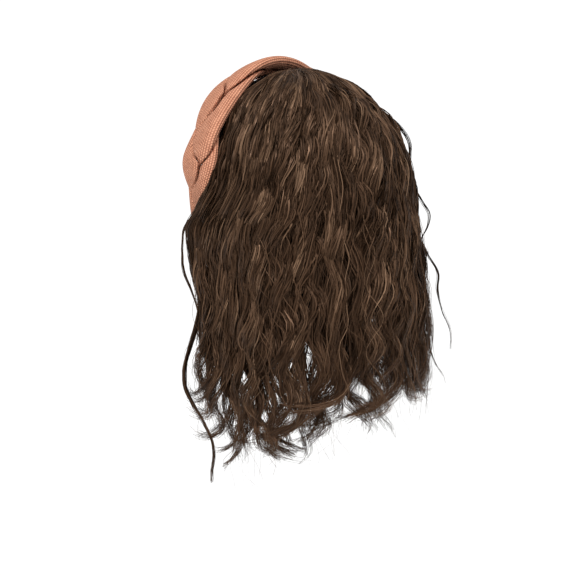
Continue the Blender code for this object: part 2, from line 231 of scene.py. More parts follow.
def makeCoreMaterial():
    material, tree, shader = nodeMaterial("corePlastic")
    place = addNode(tree, "ShaderNodeTexCoord").outputs["Object"]
    noise = addNode(tree, "ShaderNodeTexNoise", {"Vector": place, "Scale": 300.0}).outputs["Fac"]
    tree.links.new(calc(tree, "MULTIPLY_ADD", noise, 0.15, 0.25), shader.inputs["Roughness"])
    shader.inputs["Base Color"].default_value = (0.012, 0.012, 0.013, 1)
    return material


def makeSatinMaterial():
    material, tree, shader = nodeMaterial("blackSatin")
    place = addNode(tree, "ShaderNodeTexCoord").outputs["Object"]
    fine = addNode(tree, "ShaderNodeTexNoise", {"Vector": place, "Scale": 900.0}).outputs["Fac"]
    tree.links.new(calc(tree, "MULTIPLY_ADD", fine, 0.12, 0.2), shader.inputs["Roughness"])
    bump = addNode(tree, "ShaderNodeBump", {"Height": fine, "Strength": 0.15, "Distance": 0.0003})
    tree.links.new(bump.outputs[0], shader.inputs["Normal"])
    shader.inputs["Base Color"].default_value = (0.010, 0.011, 0.014, 1)
    return material


def makeNetMaterial():
    material, tree, shader = nodeMaterial("capNet")
    place = addNode(tree, "ShaderNodeTexCoord").outputs["Object"]
    cells = addNode(
        tree, "ShaderNodeTexVoronoi", {"Vector": place, "Scale": 520.0}, feature="DISTANCE_TO_EDGE"
    ).outputs["Distance"]
    thread = calc(tree, "SUBTRACT", 1.0, calc(tree, "MULTIPLY", cells, 3.0))
    shade = colourRamp(tree, thread, [(0.2, (0.004, 0.004, 0.004)), (0.9, (0.028, 0.024, 0.022))])
    tree.links.new(shade, shader.inputs["Base Color"])
    bump = addNode(tree, "ShaderNodeBump", {"Height": thread, "Strength": 0.5, "Distance": 0.0006})
    tree.links.new(bump.outputs[0], shader.inputs["Normal"])
    shader.inputs["Roughness"].default_value = 0.75
    return material


# Meshes


def addPiece(name, mesh, material, replaced=()):
    piece = bpy.data.objects.new(name, mesh)
    bpy.context.scene.collection.objects.link(piece)
    mesh.materials.clear()
    mesh.materials.append(material)
    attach(piece, "root")
    if replaced:
        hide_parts(*replaced)
    return piece


# A grid whose vertex (i, j) sits where placeVertex says; wrapped grids are closed tubes.
def gridMesh(name, columns, rows, placeVertex, wrap=False, thickness=0.0, uvScale=None):
    form = bmesh.new()
    layer = form.loops.layers.uv.new("knitMap")
    bmesh.ops.create_grid(form, x_segments=columns, y_segments=rows, size=0.5, calc_uvs=True)
    for vertex in form.verts:
        i = round((vertex.co.x + 0.5) * columns)
        j = round((vertex.co.y + 0.5) * rows)
        vertex.co = placeVertex(i, j)
    if uvScale:
        for face in form.faces:
            for loop in face.loops:
                loop[layer].uv = (loop[layer].uv.x * uvScale[0], loop[layer].uv.y * uvScale[1])
    if wrap:
        bmesh.ops.remove_doubles(form, verts=form.verts, dist=1e-6)
        edges = [edge for edge in form.edges if edge.is_boundary]
        bmesh.ops.holes_fill(form, edges=edges, sides=0)
    if thickness:
        bmesh.ops.recalc_face_normals(form, faces=form.faces)
        bmesh.ops.solidify(form, geom=form.faces[:], thickness=thickness)
    bmesh.ops.recalc_face_normals(form, faces=form.faces)
    for face in form.faces:
        face.smooth = True
    mesh = bpy.data.meshes.new(name)
    form.to_mesh(mesh)
    form.free()
    return mesh


# Head band

band = {
    "halfLength": 0.160,
    "end": 0.014,
    "tipWidth": 0.011,
    "tipThickness": 0.005,
    "coreWidth": 0.016,
    "coreThickness": 0.003,
}
braid = {
    "width": 0.043,
    "thickness": 0.0142,
    "repeat": 0.165,
    "startTurn": math.radians(34),
    "taper": 0.048,
    "endShare": 0.5,
    "strandShare": 0.36,
    "gap": 0.25 * mm,
    "ring": 56,
    "sections": 340,
    "softness": 3.5,
    "crease": 0.22,
    "creaseWidth": 0.0035,
    "pitch": [(-146, -135), (-100, -80), (-38, -20), (28, 35), (90, 90), (130, 143), (150, 176)],
    "ribs": 30,
    "row": 0.0018,
}
bandShrink = math.sqrt(1 - (head["back"] / head["length"]) ** 2)


# Lengths along the band against angles round its section of the head.
def makeBandTable():
    angles = np.linspace(0, math.pi * 0.9, 2000)
    speed = bandShrink * np.hypot(head["width"] * np.cos(angles), head["height"] * np.sin(angles))
    lengths = np.concatenate([[0], np.cumsum((speed[1:] + speed[:-1]) / 2 * np.diff(angles))])
    return lengths, angles


bandLengths, bandAngles = makeBandTable()


# Places, outward and backward directions at lengths of band from the crown.
def bandFrames(distance):
    angle = np.sign(distance) * np.interp(np.abs(distance), bandLengths, bandAngles)
    place = np.stack(
        [
            head["width"] * bandShrink * np.sin(angle),
            0 * angle,
            headMiddle[2] + head["height"] * bandShrink * np.cos(angle),
        ],
        -1,
    )
    along = unit(
        np.stack(
            [head["width"] * np.cos(angle), 0 * angle, -head["height"] * np.sin(angle)], -1
        )
    )
    up = headNormal(place)
    return place, up, unit(np.cross(up, along))


def onBand(distance, across, height):
    place, up, rear = bandFrames(distance)
    return place + rear * across[..., None] + up * height[..., None]


braidHalf = band["halfLength"] - band["end"]
braidSeat = band["coreThickness"] + seamGap
strandRadius = braid["strandShare"] * braid["width"]
strandSwing = braid["width"] / 2 - strandRadius
strandLift = strandSwing * 0.9
stackReach = strandLift + strandRadius * 0.8
flatness = 2 * stackReach / braid["thickness"]


# Sideways and height of a strand's middle; the plait tightens where the braid narrows.
def strandMiddle(strand, distance):
    pitch = np.array(braid["pitch"]) * mm
    evened = smoothCurve(pitch[:, 0], pitch[:, 1], distance)
    turn = 2 * math.pi * (evened / braid["repeat"] + strand / 3) + braid["startTurn"]
    return -strandSwing * np.cos(turn), strandLift * np.sin(2 * turn)


# Angles that divide an ellipse into even lengths, so that the ribs stay even.
def evenAngles(wide, high, count):
    angles = np.linspace(0, 2 * math.pi, 721)
    steps = np.hypot(wide * np.diff(np.cos(angles)), high * np.diff(np.sin(angles)))
    lengths = np.concatenate([[0], np.cumsum(steps)])
    return np.interp(np.linspace(0, lengths[-1], count + 1), lengths, angles)


# Points of one strand's surface, sections by ring places.
def strandRings(strand):
    distance = np.linspace(-braidHalf, braidHalf, braid["sections"] + 1)[:, None]
    angle = evenAngles(strandRadius, strandRadius / flatness, braid["ring"])[None, :]
    left = braidHalf - np.abs(distance)
    size = mix(braid["endShare"], 1.0, smoothStep(left / braid["taper"]))
    across, lift = strandMiddle(strand, distance)
    wayX, wayY = np.cos(angle), np.sin(angle)
    softness = braid["softness"]
    total = np.full(np.broadcast(distance, angle).shape, strandRadius**-softness)
    halfGap = braid["gap"] * flatness / 2 / size
    nearest = np.full(total.shape, 1.0)
    for other in range(3):
        if other != strand:
            otherAcross, otherLift = strandMiddle(other, distance)
            deltaX, deltaY = otherAcross - across, otherLift - lift
            length = np.hypot(deltaX, deltaY)
            facing = (wayX * deltaX + wayY * deltaY) / length
            limit = (length / 2 - halfGap) / np.maximum(facing, 0.03)
            nearest = np.minimum(nearest, limit)
            total = total + np.where(facing > 0.03, limit**-softness, 0)
    limit = (stackReach - np.sign(wayY) * lift) / np.maximum(np.abs(wayY), 0.03)
    total = total + np.where(np.abs(wayY) > 0.03, limit**-softness, 0)
    reach = total ** (-1 / softness)
    crease = np.exp(-(((nearest - strandRadius) / braid["creaseWidth"]) ** 2))
    reach = reach * (1 - braid["crease"] * crease)
    height = (lift + wayY * reach + stackReach) / flatness
    wide = np.broadcast_to(distance, reach.shape)
    return onBand(wide, (across + wayX * reach) * size, braidSeat + height * size)


def buildBraid():
    material = makeKnitMaterial()
    for strand in range(3):
        points = strandRings(strand)
        mesh = gridMesh(
            f"braidStrand{strand + 1}",
            braid["ring"],
            braid["sections"],
            lambda i, j: Vector(points[j, i]),
            wrap=True,
            uvScale=(braid["ribs"], 2 * braidHalf / braid["row"]),
        )
        piece = addPiece(mesh.name, mesh, material, [f"braid_strand_{strand + 1}"])
    return material


# The cover's sewn ends, round the band's core.
def buildBandEnds(material):
    fullWidth = braid["width"] * braid["endShare"]
    fullThickness = braidSeat + braid["thickness"] * braid["endShare"]
    for name, side, node in (
        ("bandEndLeft", 1, "band_end_left"),
        ("bandEndRight", -1, "band_end_right"),
    ):
        share = np.linspace(0, 1, 25)[:, None]
        angle = np.linspace(0, 2 * math.pi, 49)[None, :]
        rounding = 1 - np.sqrt(1 - (0.995 * share) ** 2)
        width = mix(fullWidth, band["tipWidth"], rounding)
        thickness = mix(fullThickness, band["tipThickness"], rounding)
        place = side * mix(braidHalf + seamGap, band["halfLength"], share)
        flatX = np.sign(np.cos(angle)) * np.abs(np.cos(angle)) ** 0.7
        flatY = np.sign(np.sin(angle)) * np.abs(np.sin(angle)) ** 0.7
        wide = np.broadcast_to(place, (25, 49))
        points = onBand(wide, flatX * width / 2, (1 + flatY) * thickness / 2)
        mesh = gridMesh(
            name, 48, 24, lambda i, j: Vector(points[j, i]), wrap=True, uvScale=(22, 6.5)
        )
        addPiece(name, mesh, material, [node])


def buildCore():
    material = makeCoreMaterial()
    half, thick, corner = band["coreWidth"] / 2, band["coreThickness"], 0.0008
    outline = [
        (-half + corner, 0),
        (half - corner, 0),
        (half, corner),
        (half, thick - corner),
        (half - corner, thick),
        (-half + corner, thick),
        (-half, thick - corner),
        (-half, corner),
    ]
    across = np.array([point[0] for point in outline] + [outline[0][0]])
    height = np.array([point[1] for point in outline] + [outline[0][1]])
    distance = np.linspace(-braidHalf, braidHalf, 121)[:, None]
    points = onBand(
        np.broadcast_to(distance, (121, 9)),
        np.broadcast_to(across, (121, 9)),
        np.broadcast_to(height, (121, 9)),
    )
    mesh = gridMesh("bandCore", 8, 120, lambda i, j: Vector(points[j, i]), wrap=True)
    mesh.set_sharp_from_angle(angle=math.radians(35))
    addPiece("bandCore", mesh, material, ["band_core"])


# Cap and binding

cap = {
    "front": 0.0083,
    "thickness": 0.0012,
    "backDrop": 0.028,
    "layerGap": 0.85 * mm,
    "flat": (0.2765, 0.1941),
    "flatArea": 0.0336,
}
binding = {"front": 0.008, "thickness": 0.0012, "flat": (0.0152, 0.2852)}
hairFront = braid["width"] / 2 + 0.002
strandFront = hairFront - 0.0025
capCover = cap["thickness"] + cap["layerGap"]


def buildCap():
    columns, rows = 72, 30
    azimuth = np.linspace(-quarter, quarter, columns + 1)[None, :]
    share = np.linspace(0, 1, rows + 1)[:, None]
    points = fanPoints(cap["front"], azimuth, share, cap["backDrop"] * np.cos(azimuth) ** 2)
    points = points + headNormal(points) * cap["thickness"]
    form = bmesh.new()
    bmesh.ops.create_grid(form, x_segments=columns, y_segments=rows, size=0.5)
    for vertex in form.verts:
        i, j = round((vertex.co.x + 0.5) * columns), round((vertex.co.y + 0.5) * rows)
        vertex.co = Vector(points[j, i])
    bmesh.ops.remove_doubles(form, verts=form.verts, dist=1e-6)
    bmesh.ops.recalc_face_normals(form, faces=form.faces)
    middle = max(form.faces, key=lambda face: face.calc_center_median().z)
    if middle.normal.z < 0:
        bmesh.ops.reverse_faces(form, faces=form.faces)
    bmesh.ops.solidify(form, geom=form.faces[:], thickness=cap["thickness"])
    bmesh.ops.recalc_face_normals(form, faces=form.faces)
    for face in form.faces:
        face.smooth = True
    mesh = bpy.data.meshes.new("wigCap")
    form.to_mesh(mesh)
    form.free()
    mesh.set_sharp_from_angle(angle=math.radians(50))
    piece = addPiece("wigCap", mesh, makeNetMaterial(), ["wig_cap"])


# The satin strip on the cap's front edge, with soft folds lengthwise.
def buildBinding():
    outline = [
        (0.0, 0.2),
        (0.25, 0.0),
        (0.5, 0.0),
        (0.75, 0.0),
        (1.0, 0.2),
        (1.0, 0.8),
        (0.75, 1.1),
        (0.5, 0.85),
        (0.25, 1.1),
        (0.0, 0.8),
    ]
    rear = hairFront - seamGap
    ring = []
    sections = 160
    side = np.linspace(-1, 1, sections + 1)
    azimuth = np.where(side < 0, -quarter, quarter)
    for across, rise in outline + outline[:1]:
        front = mix(binding["front"], rear, across)
        line = fanPoints(front, azimuth, np.abs(side))
        ring.append(line + headNormal(line) * (capCover + binding["thickness"] * rise))
    points = np.stack(ring, 1)
    mesh = gridMesh(
        "capBinding", len(outline), sections, lambda i, j: Vector(points[j, i]), wrap=True
    )
    mesh.set_sharp_from_angle(angle=math.radians(60))
    piece = addPiece("capBinding", mesh, makeSatinMaterial(), ["cap_binding"])


# Hair

hair = {
    "crown": 0.0060,
    "side": 0.013,
    "back": 0.023,
    "inset": 0.009,
    "fall": 0.138,
    "length": 0.322,
    "swing": 0.028,
    "swingStart": 0.099,
    "swingRun": 0.045,
    "sweep": 0.021,
    "sweepStart": 0.080,
    "sweepRun": 0.040,
    "sweepLift": 0.006,
    "sweepBack": 0.010,
    "domeLength": 0.138,
}
# Shares of the fall below the head's widest level against shares of the thicknesses
hairLevels = np.array(
    [
        [0.0, 0.58, 0.52, 0.0],
        [0.25, 0.64, 0.84, 0.0],
        [0.6, 0.72, 1.08, 0.8],
        [1.0, 0.88, 1.08, 1.0],
    ]
)
hemSides = [-1.1, -0.5, -0.05, 0.22, 0.5, 0.75, 0.92, 1.1]
hemDrops = [0.86, 0.80, 0.81, 0.855, 0.90, 0.96, 0.90, 0.82]


# Places, outward and sideways directions of hair at lengths from the top of the fan. Depth is 0
# on the hair's inside and 1 on its outside. Hair at the ears passes over the band's ends if it
# lies outside, and behind them if it lies inside.
def hairLine(azimuth, length, depth, front=hairFront):
    share = np.clip(length / hair["domeLength"], 0, 1)
    fallen = np.maximum(length - hair["domeLength"], 0)
    down = fallen / hair["fall"]
    onHead = fanPoints(front, azimuth, share)
    normal = headNormal(onHead)
    backness = np.cos(azimuth) ** 2
    side = hair["side"] * np.interp(down, hairLevels[:, 0], hairLevels[:, 1])
    back = hair["back"] * np.interp(down, hairLevels[:, 0], hairLevels[:, 2])
    outer = mix(side, back, backness) - 0.0012
    edge = np.sin(azimuth) ** 8 * (1 - share**2)
    outer = mix(mix(hair["crown"], outer, share**1.5), 0.0045, edge)
    inner = capCover + 0.0006 - hair["inset"] * np.interp(down, hairLevels[:, 0], hairLevels[:, 3])
    drop = fallen - onHead[..., 2]
    forward = np.sin(azimuth) ** 6
    outside = smoothStep((depth - 0.35) / 0.3)
    start = mix(hair["swingStart"], hair["sweepStart"], outside)
    reach = mix(hair["swing"], hair["sweep"], outside)
    run = mix(hair["swingRun"], hair["sweepRun"], outside)
    over = np.exp(-(((drop - 0.106) / 0.022) ** 2)) * outside * forward
    offset = mix(inner, outer, depth) + hair["sweepLift"] * over
    point = onHead + normal * offset[..., None]
    point[..., 2] -= fallen
    point[..., 1] -= forward * reach * smoothStep((drop - start) / run)
    point[..., 1] += forward * outside * hair["sweepBack"] * smoothStep((drop - 0.13) / 0.05)
    sideways = np.stack([normal[..., 1], -normal[..., 0], 0 * normal[..., 0]], -1)
    size = np.maximum(np.linalg.norm(sideways, axis=-1, keepdims=True), 0.05)
    return point, normal, sideways / size, outer - inner


def endLength(azimuth):
    return (
        hair["domeLength"]
        + headMiddle[2]
        + hair["length"] * np.interp(azimuth / quarter, hemSides, hemDrops)
    )


# The bulk under the strands, a hollow mantle that ends above the lock tips. Its colour is hair
# brown darkened far below the strands': painted shade for the depths of the hair.
def buildUnderHair():
    columns, rows = 120, 60
    azimuth = np.linspace(-quarter, quarter, columns + 1)[None, :]
    chance = np.random.default_rng(5)
    ragged = np.repeat(chance.uniform(-0.012, 0.012, columns // 4 + 1), 4)[: columns + 1]
    bottom = endLength(azimuth) - 0.085 + ragged - 0.07 * np.sin(azimuth) ** 10
    length = np.linspace(0, 1, rows + 1)[:, None] * bottom
    around = np.broadcast_to(azimuth, length.shape)
    point, normal, sideways, thick = hairLine(around, length, 0.3 + 0 * length)
    phase = 3 * np.sin(4 * azimuth)
    shift = 0.002 * smoothStep(length / 0.15) * np.sin(2 * math.pi * length / 0.052 + phase)
    ridge = 0.0008 * smoothStep(length / 0.08) * np.sin(azimuth * 60)
    point = point + sideways * (shift * np.cos(azimuth) ** 2)[..., None] + normal * ridge[..., None]
    form = bmesh.new()
    bmesh.ops.create_grid(form, x_segments=columns, y_segments=rows, size=0.5)
    for vertex in form.verts:
        i, j = round((vertex.co.x + 0.5) * columns), round((vertex.co.y + 0.5) * rows)
        vertex.co = Vector(point[j, i])
    bmesh.ops.remove_doubles(form, verts=form.verts, dist=1e-6)
    bmesh.ops.recalc_face_normals(form, faces=form.faces)
    top = max(form.faces, key=lambda face: face.calc_center_median().z)
    if top.normal.z < 0:
        bmesh.ops.reverse_faces(form, faces=form.faces)
    bmesh.ops.solidify(form, geom=form.faces[:], thickness=0.0012)
    bmesh.ops.recalc_face_normals(form, faces=form.faces)
    for face in form.faces:
        face.smooth = True
    mesh = bpy.data.meshes.new("underHair")
    form.to_mesh(mesh)
    form.free()
    addPiece("underHair", mesh, makeUnderHairMaterial(), ["hair"])


# Many flat strands in one mesh: each row of points becomes a narrow strip.
def stripMesh(name, points, widthways, toneAndShade):
    count, rows, _ = points.shape
    corners = np.stack([points - widthways, points + widthways], 2)
    vertices = corners.reshape(-1, 3)
    base = (np.arange(count)[:, None] * rows + np.arange(rows - 1)[None, :]) * 2
    faces = np.stack([base, base + 2, base + 3, base + 1], -1).reshape(-1, 4)
    mesh = bpy.data.meshes.new(name)
    mesh.vertices.add(len(vertices))
    mesh.vertices.foreach_set("co", vertices.ravel())
    mesh.loops.add(faces.size)
    mesh.loops.foreach_set("vertex_index", faces.ravel())
    mesh.polygons.add(len(faces))
    mesh.polygons.foreach_set("loop_start", np.arange(len(faces)) * 4)
    mesh.polygons.foreach_set("loop_total", np.full(len(faces), 4))
    mesh.polygons.foreach_set("use_smooth", np.ones(len(faces), bool))
    colour = mesh.color_attributes.new("strandToneAndShade", "FLOAT_COLOR", "POINT")
    values = np.repeat(toneAndShade.reshape(-1, 4), 2, 0)
    colour.data.foreach_set("color", values.ravel())
    mesh.update()
    mesh.validate()
    return mesh


strands = {
    "rows": 60,
    "width": 0.42 * mm,
    "waveLength": 0.052,
    "pieces": 5,
    "seed": 11,
    "foremost": -0.031,
    "spare": 0.0062,
}
# Locks from the outside in: half width in degrees round the head, depth in the hair, and the
# lengths from the top of the fan at which they come out
lockLayers = [
    {
        "groups": 26,
        "locks": 62,
        "tresses": 5,
        "strands": 12,
        "half": 3.2,
        "depth": (0.84, 1.0),
        "start": (0, 0.03),
    },
    {
        "groups": 22,
        "locks": 40,
        "tresses": 4,
        "strands": 12,
        "half": 4.2,
        "depth": (0.5, 0.78),
        "start": (0, 0.08),
    },
    {
        "groups": 14,
        "locks": 24,
        "tresses": 4,
        "strands": 9,
        "half": 5.0,
        "depth": (0.1, 0.45),
        "start": (0.04, 0.12),
    },
]


# Sums of slow sine waves with chosen wave lengths and sizes, one row for each strand.
def smoothNoise(chance, count, length, waves):
    total = 0
    for waveLength, size in waves:
        phase = chance.uniform(0, 2 * math.pi, (count, 1))
        total = total + size * chance.normal(0, 1, (count, 1)) * np.sin(
            2 * math.pi * length / waveLength + phase
        )
    return total


# Sideways and upward shift that turns the last part of a strand into an arc.
def curlEnds(length, bottom, reach, angle):
    along = np.clip((length - bottom + reach) / reach, 0, 1) * reach
    radius = reach / np.maximum(np.abs(angle), 0.05)
    turned = along / radius
    return np.sign(angle) * radius * (1 - np.cos(turned)), along - radius * np.sin(turned)


# Strands in tresses, tresses in locks, and locks in groups that wave together.
def growLocks(chance, layer):
    groups, locks = layer["groups"], layer["locks"]
    tresses, each = layer["tresses"], layer["strands"]
    groupSide = ((np.arange(groups) + chance.uniform(0.2, 0.8, groups)) / groups * 2 - 1) * 1.07
    groupPhase = 2.6 * np.sin(4.3 * groupSide + 1.0) + chance.normal(0, 0.9, groups)
    groupWave = strands["waveLength"] * chance.uniform(0.85, 1.25, groups)
    groupSwing = chance.uniform(0.7, 1.3, groups)
    groupDepth = chance.uniform(-1, 0.25, groups)
    groupCurl = chance.choice([-1, 1], groups) * chance.uniform(0.3, 2.6, groups)
    groupEnd = 0.010 - np.abs(chance.normal(0, 0.010, groups))
    groupReach = chance.uniform(0.035, 0.060, groups)

    side = ((np.arange(locks) + chance.uniform(0.1, 0.9, locks)) / locks * 2 - 1) * 1.07
    group = np.argmin(np.abs(side[:, None] - groupSide[None, :]), axis=1)
    lockDepth = chance.uniform(*layer["depth"], locks) + 0.12 * groupDepth[group]
    lockPhase = groupPhase[group] + chance.normal(0, 0.45, locks)
    lockOwn = chance.uniform(0, 2 * math.pi, locks)
    lockSwing = groupSwing[group] * chance.uniform(0.8, 1.2, locks)
    lockEnd = groupEnd[group] - np.abs(chance.normal(0, 0.006, locks))
    # Each lock's colour value: random tone, plus painted shade that darkens the locks of groups
    # pushed deeper into the hair.
    lockToneAndShade = chance.normal(0, 1, locks) + 0.6 * groupDepth[group]
    lockStart = chance.uniform(*layer["start"], locks)
    lockHalf = np.radians(layer["half"]) * chance.uniform(0.65, 1.25, locks)
    lockCurl = groupCurl[group] + chance.normal(0, 0.35, locks)

    bundles = locks * tresses
    tressTurn = (np.arange(bundles) % tresses) / tresses * 2 * math.pi
    tressTurn = tressTurn + chance.uniform(0, 1, bundles)
    tressRing = chance.uniform(0.35, 0.75, bundles)
    tressTwist = chance.normal(0, 2 * math.pi / 0.30, bundles)
    tressPhase = chance.normal(0, 0.35, bundles)
    tressTint = chance.normal(0, 1, bundles)
    tressEnd = -np.abs(chance.normal(0, 0.009, bundles))

    count = bundles * each
    lock = np.repeat(np.arange(locks), tresses * each)
    tress = np.repeat(np.arange(bundles), each)

    def column(values, which):
        return values[which][:, None]

    cut = -np.abs(chance.normal(0, 0.012, count))
    lockBottom = column(endLength(side * quarter) + lockEnd, lock)
    bottom = lockBottom + column(tressEnd, tress) + cut[:, None]
    start = (lockStart[lock] + chance.uniform(0.0, 0.02, count))[:, None]
    t = np.linspace(0, 1, strands["rows"])[None, :]
    length = mix(start, bottom, t)
    gather = mix(1.15, 0.38, smoothStep((length - 0.14) / 0.21))
    bunch = mix(0.36, 0.16, smoothStep((length - 0.05) / 0.28))
    turn = column(tressTurn, tress) + column(tressTwist, tress) * length
    u = column(tressRing, tress) * np.cos(turn) + bunch * chance.normal(0, 1, (count, 1))
    v = column(tressRing, tress) * np.sin(turn) + bunch * chance.normal(0, 1, (count, 1))
    meander = 0.024 * np.sin(2 * math.pi * length / 0.21 + column(lockOwn, lock))
    fan = chance.normal(0, 0.25, (count, 1)) * (1 - smoothStep(length / 0.04))
    pull = 0.55 * smoothStep((length - 0.19) / 0.15)
    middle = mix(column(side, lock), column(groupSide[group], lock), pull) * quarter
    azimuth = middle + meander + u * gather * column(lockHalf, lock) + fan
    azimuth = np.clip(azimuth, -1.69, 1.69)
    depth = column(lockDepth, lock) + 0 * length
    point, normal, sideways, thick = hairLine(azimuth, length, depth, strandFront)
    lift = 0.20 * thick * v * mix(0.7, 1, gather)

    turn = 2 * math.pi * length / column(groupWave[group], lock) + column(lockPhase, lock)
    turn = turn + column(tressPhase, tress) + chance.normal(0, 0.16, (count, 1))
    turn = turn + 0.5 * np.sin(2 * math.pi * length / 0.13 + column(lockOwn, lock))
    low = smoothStep((length - 0.20) / 0.15)
    growth = smoothStep((length - 0.012) / 0.07)
    growth = growth * column(lockSwing, lock) * chance.uniform(0.85, 1.15, (count, 1))
    beside = np.clip(1 - np.sin(azimuth) ** 10 + smoothStep((length - 0.13) / 0.04), 0, 1)
    across = mix(0.0030, 0.0062, low) * growth * np.sin(turn)
    own = 2 * math.pi * length / 0.036 + column(lockOwn, lock) * 3 + 0.4 * v
    across = across + 0.0008 * growth * np.sin(own)
    loose = mix(1, 1.6, low) * growth
    across = across + loose * smoothNoise(
        chance, count, length, [(0.09, 0.0009), (0.04, 0.0005), (0.018, 0.00018)]
    )
    outward = mix(0.0026, 0.0050, low) * growth * np.cos(turn + 0.6) + lift
    outward = outward + loose * smoothNoise(chance, count, length, [(0.08, 0.0005), (0.03, 0.0003)])
    curl = column(lockCurl, lock) * chance.uniform(0.85, 1.15, (count, 1))
    bend, rise = curlEnds(length, lockBottom, column(groupReach[group], lock), curl)
    across = across * beside + bend
    point = point + sideways * across[..., None] + normal * outward[..., None]
    point[..., 2] += rise

    tilt = 0.45 * chance.normal(0, 1, (count, 1))
    tilt = tilt + 0.45 * np.sin(turn * 0.5 + column(lockToneAndShade, lock))
    body = np.minimum(1, 0.35 + 6 * t) * np.clip((1 - t) * 3.0, 0.25, 1)
    width = strands["width"] * body * chance.uniform(0.6, 1.35, (count, 1))
    # Colour value: random tone from lock, tress and strand, plus painted shade, lighter towards the
    # tress's outer side and darker the deeper the lock lies in the hair.
    shade = 0.47 + 0.09 * column(lockToneAndShade, lock) + 0.11 * column(tressTint, tress)
    shade = shade + chance.normal(0, 0.15, (count, 1)) + 0.20 * v - 0.5 * (0.9 - depth)
    toneAndShade = np.zeros((count, strands["rows"], 4))
    toneAndShade[..., 0] = np.clip(shade, 0, 1)
    toneAndShade[..., 1] = chance.uniform(0, 1, (count, 1))
    toneAndShade[..., 3] = 1
    return point, normal, tilt, width, toneAndShade


# Single locks that stand apart. A route gives, in millimetres, a length from the top of the
# fan and how far the lock is then off its place sideways, towards the face, and outwards.
wisps = [
    {
        "azimuth": 90,
        "count": 44,
        "spread": 0.0030,
        "route": [
            (120, 0, 0),
            (140, 4, 0),
            (160, 8.5, 1),
            (176, 9, 2),
            (193, 10, 1),
            (209, 9, 0),
            (235, 16, 0),
            (250, 20, 2),
            (269, 24, 3),
            (285, 22, 2),
            (296, 15, 0),
            (308, 5, -1),
            (320, -4, 0),
            (331, -7, 1),
            (343, -6, 2),
            (353, -5, 1),
        ],
    },
    {
        "azimuth": 92,
        "count": 10,
        "spread": 0.0010,
        "route": [
            (130, 2, 0),
            (150, 8, 1),
            (165, 13, 2),
            (176, 15, 3),
            (190, 18, 2),
            (205, 15, 1),
            (225, 10, 0),
            (250, 12, 0),
        ],
    },
    {
        "azimuth": -44,
        "count": 12,
        "spread": 0.0011,
        "route": [
            (70, 0, 1),
            (88, 0, 8),
            (100, 0, 10),
            (113, 1, 5),
            (127, 0, 4),
            (137, -1, 11),
            (147, -2, 17),
            (159, 0, 14),
            (168, 2, 8),
            (180, 1, 13),
            (195, -2, 21),
            (209, 0, 19),
            (226, 1, 22),
            (241, -1, 29),
            (259, 0, 29),
        ],
    },
    {
        "azimuth": -38,
        "count": 9,
        "spread": 0.0009,
        "route": [
            (180, 0, 2),
            (210, 2, 3),
            (235, 0, 6),
            (255, -2, 8),
            (268, 0, 13),
            (276, 2, 18),
            (282, 5, 19),
        ],
    },
]


# One lock on its own route, drawn in towards its tip.
def growWisp(chance, wisp):
    count = wisp["count"]
    route = np.array(wisp["route"]) * mm
    t = np.linspace(0, 1, strands["rows"])[None, :]
    begin = route[0, 0] + 0 * t
    finish = route[-1, 0] - np.abs(chance.normal(0, 0.008, (count, 1)))
    length = mix(begin, finish, t)
    azimuth = math.radians(wisp["azimuth"]) + 0 * length
    point, normal, sideways, thick = hairLine(azimuth, length, 0.95 + 0 * length)
    taper = wisp["spread"] * mix(1.0, 0.3, smoothStep(t * 1.1))
    turn = chance.uniform(0, 2 * math.pi, (count, 1)) + 24 * length
    ring = np.sqrt(chance.uniform(0, 1, (count, 1))) * taper
    across = smoothCurve(route[:, 0], route[:, 1], length) + ring * np.cos(turn)
    outward = smoothCurve(route[:, 0], route[:, 2], length) + ring * np.sin(turn)
    across = across + smoothNoise(chance, count, length, [(0.05, 0.0005), (0.02, 0.00015)])
    outward = outward + smoothNoise(chance, count, length, [(0.06, 0.0005)])
    point = point + sideways * across[..., None] + normal * outward[..., None]
    tilt = chance.normal(0, 0.7, (count, 1)) + 0 * length
    width = 0.36 * mm * chance.uniform(0.6, 1.3, (count, 1)) * np.clip((1 - t) * 4, 0.3, 1)
    toneAndShade = np.zeros((count, strands["rows"], 4))
    toneAndShade[..., 0] = np.clip(chance.normal(0.35, 0.15, (count, 1)), 0, 1)
    toneAndShade[..., 1] = 0.5
    toneAndShade[..., 3] = 1
    return point, normal, tilt, width, toneAndShade


# Thin single strands that stray from the outside.
def growLoose(chance, count):
    azimuth = chance.uniform(-1.72, 1.72, (count, 1))
    start = chance.uniform(0.0, 0.16, (count, 1))
    bottom = endLength(azimuth) - np.abs(chance.normal(0, 0.05, (count, 1))) + 0.008
    t = np.linspace(0, 1, strands["rows"])[None, :]
    length = mix(start, np.maximum(bottom, start + 0.08), t)
    azimuth = azimuth + smoothNoise(chance, count, length, [(0.25, 0.03), (0.12, 0.015)])
    depth = 0.95 + 0.16 * chance.uniform(0, 1, (count, 1)) * smoothStep(t * 2) + 0 * length
    point, normal, sideways, thick = hairLine(np.clip(azimuth, -1.74, 1.74), length, depth)
    growth = smoothStep((length - 0.02) / 0.15) * mix(0.6, 1.7, t)
    across = growth * smoothNoise(
        chance, count, length, [(0.07, 0.0022), (0.05, 0.0022), (0.025, 0.0005)]
    )
    outward = growth * np.abs(
        smoothNoise(chance, count, length, [(0.11, 0.0020), (0.06, 0.0012)])
    )
    point = point + sideways * across[..., None] + normal * outward[..., None]
    tilt = chance.normal(0, 0.8, (count, 1)) + 0 * length
    width = 0.22 * mm * chance.uniform(0.6, 1.2, (count, 1)) * np.clip((1 - t) * 4, 0.3, 1)
    toneAndShade = np.zeros((count, strands["rows"], 4))
    toneAndShade[..., 0] = np.clip(chance.normal(0.5, 0.2, (count, 1)), 0, 1)
    toneAndShade[..., 1] = 0.5
    toneAndShade[..., 3] = 1
    return point, normal, tilt, width, toneAndShade


